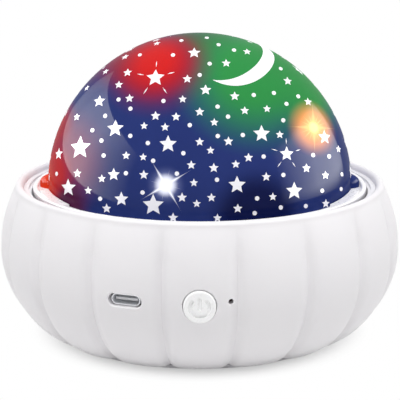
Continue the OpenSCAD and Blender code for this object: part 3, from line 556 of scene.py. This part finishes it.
# painted flares, drawn into the film's glow as lights right behind the film would show, with no lamp there:
# place, core and halo reach, colours, and their rays
paintedFlares = {
    "white": {"turn": -11.8, "rise": 12.0, "core": 0.03, "glow": 0.13, "fall": 2.4, "colour": "FFFFFF",
              "halo": "C4CCF6",
              "rays": [(30.6, 0.19, 1.0), (75.6, 0.11, 0.8), (8, 0.095, 0.6), (53, 0.095, 0.6)]},
    "orange": {"turn": 53.1, "rise": 28.4, "core": 0.02, "glow": 0.2, "fall": 1.5, "colour": "FFF08C",
               "halo": "FF8C30", "rays": [(0, 0.2, 0.3), (45, 0.13, 0.3), (22, 0.12, 0.3), (67, 0.12, 0.3)]},
}
rayReach = 0.3  # rays stop here, as a part of the radius, so that none shows on the dome's far side


def facingView(direction):
    # a direction as the print's drawing plane sees it: X to the right, Z up, Y away
    return Matrix.Rotation(math.radians(viewRise), 3, "X") @ direction


def domeCoordinates(tree):
    # places on the dome in parts of its radius, turned so that X and Z are the drawing plane of the print
    unit = 1 / (domeValues["radius"] * mm)
    sphere = addNode(tree, "ShaderNodeMapping", {"Location": (0, 0, -domeValues["centre"] * mm * unit),
                                                 "Scale": (unit, unit, unit)}, {"Vector": objectPlace(tree)})
    lean = (math.radians(viewRise), 0, 0)
    turned = addNode(tree, "ShaderNodeMapping", {"Rotation": lean}, {"Vector": (sphere, 0)})
    pressed = (1, filmValues["alongView"], 1)
    return addNode(tree, "ShaderNodeMapping", {"Scale": pressed}, {"Vector": (turned, 0)})


def fromSpot(tree, drawing, operation, turn, rise):
    # distance or offset of each place from a spot of the drawing
    spot = facingView(onDome(turn, rise))
    spot.y *= filmValues["alongView"]
    return addNode(tree, "ShaderNodeVectorMath", {"operation": operation, 1: spot}, {0: (drawing, 0)})


def domeColour(tree, drawing):
    drift = addNode(tree, "ShaderNodeTexNoise", {"Scale": 2.2, "Detail": 2.0}, {"Vector": (drawing, 0)})
    colour = addMix(tree, drift, *filmValues["ground"])
    for turn, rise, near, far, code in zones:
        away = fromSpot(tree, drawing, "DISTANCE", turn, rise)
        colour = addMix(tree, addRange(tree, (away, "Value"), (near, far), (1.0, 0.0)), colour, code)
    return colour


def paintedFlareRay(tree, offset, angle, length, strength):
    # a painted light ray of a flare, a fine four-pointed star: its edge is where the powers of 0.4 of both
    # distances add up to one
    a = math.radians(angle)
    powers = []
    for way in ((math.cos(a), 0, math.sin(a)), (-math.sin(a), 0, math.cos(a))):
        scaled = [c / length for c in way]
        along = addNode(tree, "ShaderNodeVectorMath", {"operation": "DOT_PRODUCT", 1: scaled},
                        {0: (offset, 0)})
        size = addMath(tree, "ABSOLUTE", (along, "Value"))
        powers.append((addMath(tree, "POWER", (size, 0), 0.4), 0))
    return addRange(tree, (addMath(tree, "ADD", *powers), 0), (0.8, 1.03), (strength, 0.0), smooth=False)


def addPaintedFlares(tree, drawing):
    # painted glow of the two flares, as lights right behind the film would show; no lamp stands there
    glow = None
    for g in paintedFlares.values():
        offset = fromSpot(tree, drawing, "SUBTRACT", g["turn"], g["rise"])
        away = (addNode(tree, "ShaderNodeVectorMath", {"operation": "LENGTH"}, {0: (offset, 0)}), "Value")
        halo = addRange(tree, away, (0.0, g["glow"]), (1.0, 0.0), smooth=False)
        soft = addMath(tree, "POWER", (halo, 0), g["fall"])
        bright = addRange(tree, away, (g["core"], g["core"] * 2.6), (1.0, 0.0))
        front = addMath(tree, "LESS_THAN", away, rayReach)
        for angle, length, strength in g["rays"]:
            ray = addMath(tree, "MULTIPLY", (paintedFlareRay(tree, offset, angle, length, strength), 0), (front, 0))
            bright = addMath(tree, "MAXIMUM", (bright, 0), (ray, 0))
        paintedGlow = addMix(tree, bright, addMix(tree, soft, "000000", g["halo"]), g["colour"])
        glow = addMix(tree, 1.0, glow, paintedGlow, "ADD") if glow else paintedGlow
    return glow


def makeFilm():
    # Glossy printed polyester over a clear shell: deep transparent inks, a hard clear gloss
    material, tree, shader = newMaterial("printedGlossFilm")
    drawing = domeCoordinates(tree)
    colour = domeColour(tree, drawing)
    # painted glow: the film emits 0.12 of its own colour and the painted flares, as if lit from inside
    paintedGlow = addMix(tree, 0.12, addPaintedFlares(tree, drawing), colour, "ADD")
    ripple = addNode(tree, "ShaderNodeTexNoise", {"Scale": 3.0, "Detail": 1.0}, {"Vector": (drawing, 0)})
    bump = addBump(tree, ripple, 0.04, 0.4)
    fillNode(tree, shader, {"Emission Strength": 1.0, "Roughness": 0.3, "IOR": 1.5, "Specular IOR Level": 0.0,
                            "Coat Weight": filmValues["lacquer"], "Coat Roughness": 0.04, "Coat IOR": 1.5},
             {"Base Color": (colour, 2), "Emission Color": (paintedGlow, 2), "Coat Normal": (bump, 0)})
    return material


def makeStarInk():
    # Bare film where the ink is left out: milky white, with a little of the zone's colour
    material, tree, shader = newMaterial("clearStarWindows")
    drawing = domeCoordinates(tree)
    pale = addMix(tree, 0.1, filmValues["starInk"], domeColour(tree, drawing))
    # painted orange glow from the orange flare on the stars within its reach
    orangeFlare = paintedFlares["orange"]
    away = fromSpot(tree, drawing, "DISTANCE", orangeFlare["turn"], orangeFlare["rise"])
    reach = addRange(tree, (away, "Value"), (orangeFlare["glow"] * 0.4, orangeFlare["glow"]), (1.0, 0.0))
    pale = addMix(tree, reach, pale, filmValues["paintedOrangeGlow"])
    # painted glow: the bare film emits 0.14 of its pale colour and the painted flares
    paintedGlow = addMix(tree, 0.14, addPaintedFlares(tree, drawing), pale, "ADD")
    fillNode(tree, shader, {"Emission Strength": 1.0, "Roughness": 0.3, "Coat Weight": filmValues["lacquer"],
                            "Coat Roughness": 0.04}, {"Base Color": (pale, 2), "Emission Color": (paintedGlow, 2)})
    return material


def lowAngle(radius):
    # where an arc round the dome's centre starts, in degrees, to stand on the dome's base
    return math.degrees(math.asin((domeValues["base"] - domeValues["centre"]) / radius))


def makeDome():
    s = domeValues
    inner = s["radius"] - s["wall"]
    middle = s["radius"] - s["wall"] / 2  # an ear starts in the middle of the dome's wall
    section = arc((0, s["centre"]), (s["radius"], s["radius"]), 90, lowAngle(s["radius"]), 72)
    section += arc((0, s["centre"]), (inner, inner), lowAngle(inner), 90, 72)
    section[0] = (0, s["centre"] + s["radius"])
    section[-1] = (0, s["centre"] + inner)
    dome = spinProfile(section, 192, False)
    ears = []
    for side in (-1, 1):
        r = s["earRadius"]
        section = [(0, s["base"] + s["earGap"]), (r, s["base"] + s["earGap"])]
        section += arc((0, s["base"] + s["earSide"]), (r, s["earHeight"] - s["earSide"]), 0, 90, 14)
        section[-1] = (0, s["base"] + s["earHeight"])
        ear = spinProfile(section, 64, False)
        bmesh.ops.translate(ear, vec=(side * s["earAt"], 0, 0), verts=ear.verts)
        ball = arc((0, s["centre"]), (middle, middle), -90, 90, 96)
        ball[0] = (0, s["centre"] - middle)
        ball[-1] = (0, s["centre"] + middle)
        ears.append(cutWith(ear, [spinProfile(ball, 160, False)]))
    dome = cutWith(dome, ears, "UNION")
    return finishPiece("filmDome", dome, makeFilm(), "dome", "dome_film", "film_dome", sharp=30)


makeDome()
print("film dome made")

# stars seen from the front: turn, rise, radius in mm
bigStars = [
    (-52, 21, 3.65), (-16, 5, 3.25), (-26, 52, 2.9), (-36, 30, 2.7), (-12, 26, 2.65), (25, 29, 2.65),
    (13, 12, 2.65), (35, 8, 2.7), (-55, 6, 2.75), (34, 21, 2.25), (-28, 6, 2.2), (58, 24, 2.3),
    (-53, 39, 2.0), (-5, 67, 2.0), (-32, 14, 1.95), (-68, 16, 1.9), (3, 47, 1.75),
]
smallStars = [
    (-62, 72), (-72, 60), (-72, 51), (-48, 53), (-47, 47), (-76, 42), (-35, 42), (-64, 31), (-19, 36),
    (-10, 36), (-8, 43), (-7, 52), (-14, 32), (-23, 32), (0, 38), (6, 34), (17, 44), (20, 38), (31, 38),
    (19, 60), (47, 66), (55, 48), (59, 38), (33, 28), (11, 27), (0, 27), (4, 24), (18, 21), (13, 19),
    (5, 18), (-3, 19), (-2, 13), (-20, 15), (-28, 21), (-21, 21), (-50, 12), (-37, 12), (-6, 8), (4, 8),
    (-1, 6), (13, 4), (6, 1), (-9, 1), (24, 14), (26, 7), (42, 15), (52, 11), (67, 18), (51, 1), (-43, 7),
    (-34, 2),
]
dots = [
    (-31, 77), (-23, 65), (-56, 63), (17, 81), (24, 73), (35, 68), (7, 60), (0, 54), (-17, 42), (-41, 41),
    (-32, 38), (-44, 34), (-48, 28), (-41, 25), (-28, 28), (-20, 26), (-38, 20), (-17, 20), (-6, 23),
    (-4, 33), (7, 29), (12, 36), (8, 40), (17, 29), (27, 44), (39, 44), (60, 54), (54, 41), (43, 39),
    (37, 33), (24, 21), (31, 14), (47, 19), (57, 17), (65, 9), (63, 4), (49, 6), (40, 2), (29, 3), (20, 7),
    (19, 2), (6, 14), (-20, 9), (-27, 15), (-8, 16), (-37, 5), (-66, 9),
]
printValues = {"starWaist": 0.47, "smallStar": 1.35, "dot": 0.67, "stretchPower": 0.9, "mostStretch": 1.9,
               "rayStars": (2, 9), "thick": 0.1, "backCount": 300, "backTurn": 137.508, "frontEdge": 0.24,
               "spacing": 1.25, "spreadRadius": 49.5,
               "backSizes": (0.72, 1.3, 0.72, 1.55, 2.5, 0.72, 1.25, 2.0)}


def starTemplate(points, waist, cuts=0):
    bm = bmesh.new()
    corners = 2 * points if waist else points
    bmesh.ops.create_circle(bm, segments=corners, radius=1, cap_ends=True, cap_tris=True)
    if waist:
        for v in bm.verts:
            if v.co.length > 0.5:
                step = round(math.degrees(math.atan2(v.co.x, v.co.y)) / (180 / points))
                if step % 2:
                    v.co *= waist
    if cuts:  # large stars bend with the dome
        bmesh.ops.subdivide_edges(bm, edges=bm.edges, cuts=cuts, use_grid_fill=True)
    made = bmesh.ops.extrude_face_region(bm, geom=bm.faces[:])
    for g in made["geom"]:
        if isinstance(g, bmesh.types.BMVert):
            g.co.z = 1
    bmesh.ops.recalc_face_normals(bm, faces=bm.faces)
    mesh = bpy.data.meshes.new("template")
    bm.to_mesh(mesh)
    bm.free()
    return mesh


def placeOnDome(bm, count, middle, size, shift=(0, 0), turn=0.0, facing=None):
    # lays the newest vertices on the dome round a direction; z of 0 and 1 are the print's underside and face
    n = middle
    if facing is None:
        facing = n
    lean = max(n.dot(facing), 0.05)
    up = Vector((0, 0, 1)) - facing * facing.z
    up = up.normalized() if up.length > 0.05 else Vector((0, 1, 0))
    across = up.cross(facing)
    stretch = min(lean ** -printValues["stretchPower"], printValues["mostStretch"])
    near = lean > 0.999
    towards = (up - n * up.dot(n) if near else facing - n * lean).normalized()
    level = n.cross(towards)
    seen = up if near else (towards - facing * towards.dot(facing)).normalized()
    c, s = math.cos(turn), math.sin(turn)
    bm.verts.ensure_lookup_table()
    for v in bm.verts[len(bm.verts) - count:]:
        x, y = v.co.x * size[0] + shift[0], v.co.y * size[1] + shift[1]
        flat = across * (x * c - y * s) + up * (x * s + y * c)
        way = n * domeValues["radius"] + level * flat.dot(level) + towards * flat.dot(seen) * stretch
        high = domeValues["printRadius"] - printValues["thick"] * (1 - v.co.z)
        v.co = Vector((0, 0, domeValues["centre"])) + way.normalized() * high


def makePrint(starInk):
    s = printValues
    star, dot, dash = starTemplate(5, s["starWaist"]), starTemplate(10, 0), starTemplate(4, 0)
    largeStar = starTemplate(5, s["starWaist"], 2)
    bm = bmesh.new()
    front = [(t, r, size) for t, r, size in bigStars] + [
        (t, r, s["smallStar"] * (0.88 + 0.24 * (i * 0.618 % 1))) for i, (t, r) in enumerate(smallStars)]
    taken = []
    for turn, rise, size in front:
        n = onDome(turn, rise)
        shape = largeStar if size > 1.8 else star
        bm.from_mesh(shape)
        placeOnDome(bm, len(shape.vertices), n, (size, size), facing=viewDirection)
        taken.append((n, size))
    for turn, rise in dots:
        n = onDome(turn, rise)
        bm.from_mesh(dot)
        placeOnDome(bm, len(dot.vertices), n, (s["dot"], s["dot"]), facing=viewDirection)
        taken.append((n, s["dot"]))
    for i in s["rayStars"]:  # short dashes round two of the stars, off their five points
        turn, rise, size = bigStars[i]
        for k in range(5):
            bm.from_mesh(dash)
            placeOnDome(bm, len(dash.vertices), onDome(turn, rise), (0.06 * size, 0.42 * size),
                        (0, 1.72 * size), math.tau * k / 5, viewDirection)
    for i in range(s["backCount"]):  # the rest of the dome, evenly spread and never on another star
        rise = math.degrees(math.asin(0.02 + 0.97 * (i + 0.5) / s["backCount"]))
        n = onDome(i * s["backTurn"], rise)
        size = s["backSizes"][(i * 5 + i // 7) % 8]
        onOther = any(n.angle(m) * s["spreadRadius"] < s["spacing"] * (size + other) for m, other in taken)
        if n.dot(viewDirection) > s["frontEdge"] or onOther:
            continue
        shape = dot if size < 1 else star
        bm.from_mesh(shape)
        placeOnDome(bm, len(shape.vertices), n, (size, size))
        taken.append((n, size))
    print("print holds", len(taken), "stars and dots")
    return finishPiece("starPrint", bm, starInk, "dome", "dome_film", sharp=40)


starInk = makeStarInk()
makePrint(starInk)

moonValues = {"turn": 47.3, "rise": 74.8, "outer": 15.35, "inner": 15.89, "stretch": 1.8, "tilt": -46.7,
              "offset": (-1.45, 5.17), "steps": 60, "bands": 3}


def makeMoon(starInk):
    # a crescent between two ovals drawn on the dome, fine at both tips; a flat grid is laid between them
    s = moonValues
    n = onDome(s["turn"], s["rise"])
    east = Vector((math.cos(math.radians(s["turn"])), math.sin(math.radians(s["turn"])), 0))
    north = n.cross(east)
    turned = Matrix.Rotation(math.radians(s["tilt"]), 2)
    # both ovals are circles once the stretch is taken out
    shift = turned.inverted() @ Vector(s["offset"])
    shift.y /= s["stretch"]
    across = s["outer"] ** 2 + shift.length_squared - s["inner"] ** 2
    tips = math.acos(across / (2 * s["outer"] * shift.length))
    bm = bmesh.new()
    bmesh.ops.create_grid(bm, x_segments=s["steps"], y_segments=s["bands"], size=1)
    for v in bm.verts:
        t = math.atan2(shift.y, shift.x) + math.pi + (math.pi - tips) * math.sin(v.co.x * math.pi / 2)
        way = Vector((math.cos(t), math.sin(t)))
        near = way.dot(shift)
        reach = near + math.sqrt(near ** 2 - shift.length_squared + s["inner"] ** 2)
        flat = way * (s["outer"] + (reach - s["outer"]) * (v.co.y + 1) / 2)
        flat = turned @ Vector((flat.x, flat.y * s["stretch"]))
        spot = (n * domeValues["radius"] + east * flat.x + north * flat.y).normalized()
        v.co = Vector((0, 0, domeValues["centre"])) + spot * domeValues["printRadius"]
    bmesh.ops.remove_doubles(bm, verts=bm.verts, dist=0.002)
    bmesh.ops.recalc_face_normals(bm, faces=bm.faces)
    made = bmesh.ops.extrude_face_region(bm, geom=bm.faces[:])
    centre = Vector((0, 0, domeValues["centre"]))
    for g in made["geom"]:
        if isinstance(g, bmesh.types.BMVert):
            g.co = centre + (g.co - centre) * (1 - printValues["thick"] / domeValues["printRadius"])
    bmesh.ops.recalc_face_normals(bm, faces=bm.faces)
    return finishPiece("moonPrint", bm, starInk, "dome", "dome_film", sharp=40)


makeMoon(starInk)
print("star and moon print made")


stageValues = {
    "floorColour": "EAEAEA", "floorSize": 6.0, "worldFill": 0.34,
    "shadowKept": 0.6, "shadowEdge": (0.042, 0.057),
    "softboxes": {
        "left": {"at": (-0.62, 0.0, 0.58), "size": (0.5, 0.5), "power": 1.7},
        "right": {"at": (0.66, -0.02, 0.50), "size": (0.5, 0.5), "power": 1.6},
        "above": {"at": (0.02, -0.33, 1.10), "size": (0.6, 0.6), "power": 9.1},
    },
    # bright cards beside the dome that only its gloss shows; a ramp has the brightness from front to back
    "cards": {
        "left": {"at": (-0.25, 0.09, 0.16), "size": (0.62, 0.20), "side": -1, "tilt": 8, "power": 6.6,
                 "fade": 0.02, "ramp": [(0.0, 0.0), (0.35, 1.0), (0.55, 0.6), (0.7, 0.3), (1.0, 0.1)]},
        "right": {"at": (0.25, 0.02, 0.11), "size": (0.38, 0.20), "side": 1, "tilt": 0, "power": 4.4,
                  "fade": 0.2, "ramp": [(0.0, 0.0), (0.45, 1.0), (0.75, 0.7), (1.0, 0.3)]},
    },
}


def seenDirectly(tree):
    # one where the camera looks, also by reflection or through a clear piece, and nought for gathered light
    path = addNode(tree, "ShaderNodeLightPath")
    seen = addMath(tree, "MAXIMUM", (path, "Is Camera Ray"), (path, "Is Glossy Ray"))
    return addMath(tree, "MAXIMUM", (seen, 0), (path, "Is Transmission Ray"))


def makeFloor():
    s = stageValues
    bm = bmesh.new()
    bmesh.ops.create_grid(bm, x_segments=2, y_segments=2, size=s["floorSize"] / 2)
    mesh = bpy.data.meshes.new("floor")
    bm.to_mesh(mesh)
    bm.free()
    floor = bpy.data.objects.new("floor", mesh)
    bpy.context.scene.collection.objects.link(floor)
    # Seamless white sheet: the camera sees it near white, with the object's shadow kept
    material, tree, shader = newMaterial("whitePaperSweep")
    fillNode(tree, shader, {"Base Color": linear(s["floorColour"]), "Roughness": 0.9,
                            "Specular IOR Level": 0.0}, {})
    away = addNode(tree, "ShaderNodeVectorMath", {"operation": "LENGTH"}, {0: objectPlace(tree)})
    fade = addRange(tree, (away, "Value"), s["shadowEdge"], (1 - s["shadowKept"], 1.0))
    part = addMath(tree, "MULTIPLY", (seenDirectly(tree), 0), (fade, 0))
    white = addNode(tree, "ShaderNodeEmission", {"Color": (1, 1, 1, 1), "Strength": 1.0})
    both = addNode(tree, "ShaderNodeMixShader", {}, {0: (part, 0), 1: (shader, 0), 2: (white, 0)})
    tree.links.new(both.outputs[0], tree.nodes["Material Output"].inputs["Surface"])
    mesh.materials.append(material)


def makeWorld():
    world = bpy.data.worlds.new("studioWorld")
    bpy.context.scene.world = world
    world.use_nodes = True
    tree = world.node_tree
    seen = (seenDirectly(tree), 0)
    strength = addRange(tree, seen, (0.0, 1.0), (stageValues["worldFill"], 1.0), smooth=False)
    fillNode(tree, tree.nodes["Background"], {"Color": (1, 1, 1, 1)}, {"Strength": (strength, 0)})


def addLamp(name, values, turn):
    light = bpy.data.lights.new(name, "AREA")
    light.shape = "RECTANGLE"
    light.size, light.size_y = values["size"]
    light.energy = values["power"]
    lamp = bpy.data.objects.new(name, light)
    lamp.location = values["at"]
    lamp.rotation_mode = "QUATERNION"
    lamp.rotation_quaternion = turn
    lamp.visible_camera = False
    bpy.context.scene.collection.objects.link(lamp)
    return lamp


def makeSoftboxes():
    for name, box in stageValues["softboxes"].items():
        towards = Vector((0, 0, 0.05)) - Vector(box["at"])
        lamp = addLamp(name + "Softbox", box, towards.to_track_quat("-Z", "Y"))
        lamp.visible_glossy = False


def makeCards():
    # upright and facing the dome, their long side running from front to back
    glossy = bpy.data.collections.new("domeGloss")
    for piece in ("filmDome", "starPrint", "moonPrint"):
        glossy.objects.link(bpy.data.objects[piece])
    for name, card in stageValues["cards"].items():
        level = Matrix.Rotation(math.radians(card["tilt"]), 3, "X")
        upright = Matrix(((0, 0, card["side"]), (card["side"], 0, 0), (0, 1, 0)))
        lamp = addLamp(name + "Card", card, (level @ upright).to_quaternion())
        lamp.visible_diffuse = False
        lamp.visible_transmission = False
        lamp.light_linking.receiver_collection = glossy
        lamp.data.use_nodes = True
        tree = lamp.data.node_tree
        place = addNode(tree, "ShaderNodeNewGeometry")
        along = addNode(tree, "ShaderNodeSeparateXYZ", {}, {0: (place, "Parametric")})
        ramp = addNode(tree, "ShaderNodeValToRGB", {}, {0: (along, 0)})
        stops = sorted((at if card["side"] > 0 else 1 - at, value) for at, value in card["ramp"])
        for at, value in stops[1:-1]:
            ramp.color_ramp.elements.new(at)
        for element, (at, value) in zip(ramp.color_ramp.elements, stops):
            element.position = at
            element.color = (value, value, value, 1)
        edge = addMath(tree, "PINGPONG", (along, 1), 0.5)
        soft = addRange(tree, (edge, 0), (0.0, card["fade"]), (0.0, 1.0))
        both = addMath(tree, "MULTIPLY", (ramp, 0), (soft, 0))
        tree.links.new(both.outputs[0], tree.nodes["Emission"].inputs["Strength"])


cameraValues = {"rise": 12.215, "distance": 0.42746, "target": (0, 0, 0.050), "lens": 117.45,
                "shift": (0.0008, -0.0605)}


def makeCamera():
    s = cameraValues
    data = bpy.data.cameras.new("photoCamera")
    data.sensor_width = 36
    data.lens = s["lens"]
    data.shift_x, data.shift_y = s["shift"]
    data.clip_start, data.clip_end = 0.01, 20
    camera = bpy.data.objects.new("photoCamera", data)
    rise = math.radians(s["rise"])
    camera.location = Vector(s["target"]) + Vector((0, -math.cos(rise), math.sin(rise))) * s["distance"]
    camera.rotation_euler = (math.pi / 2 - rise, 0, 0)
    bpy.context.scene.collection.objects.link(camera)
    bpy.context.scene.camera = camera


makeFloor()
makeWorld()
makeSoftboxes()
makeCards()
makeCamera()
bpy.context.scene.view_settings.view_transform = "Standard"
print("stage, lights and camera set")
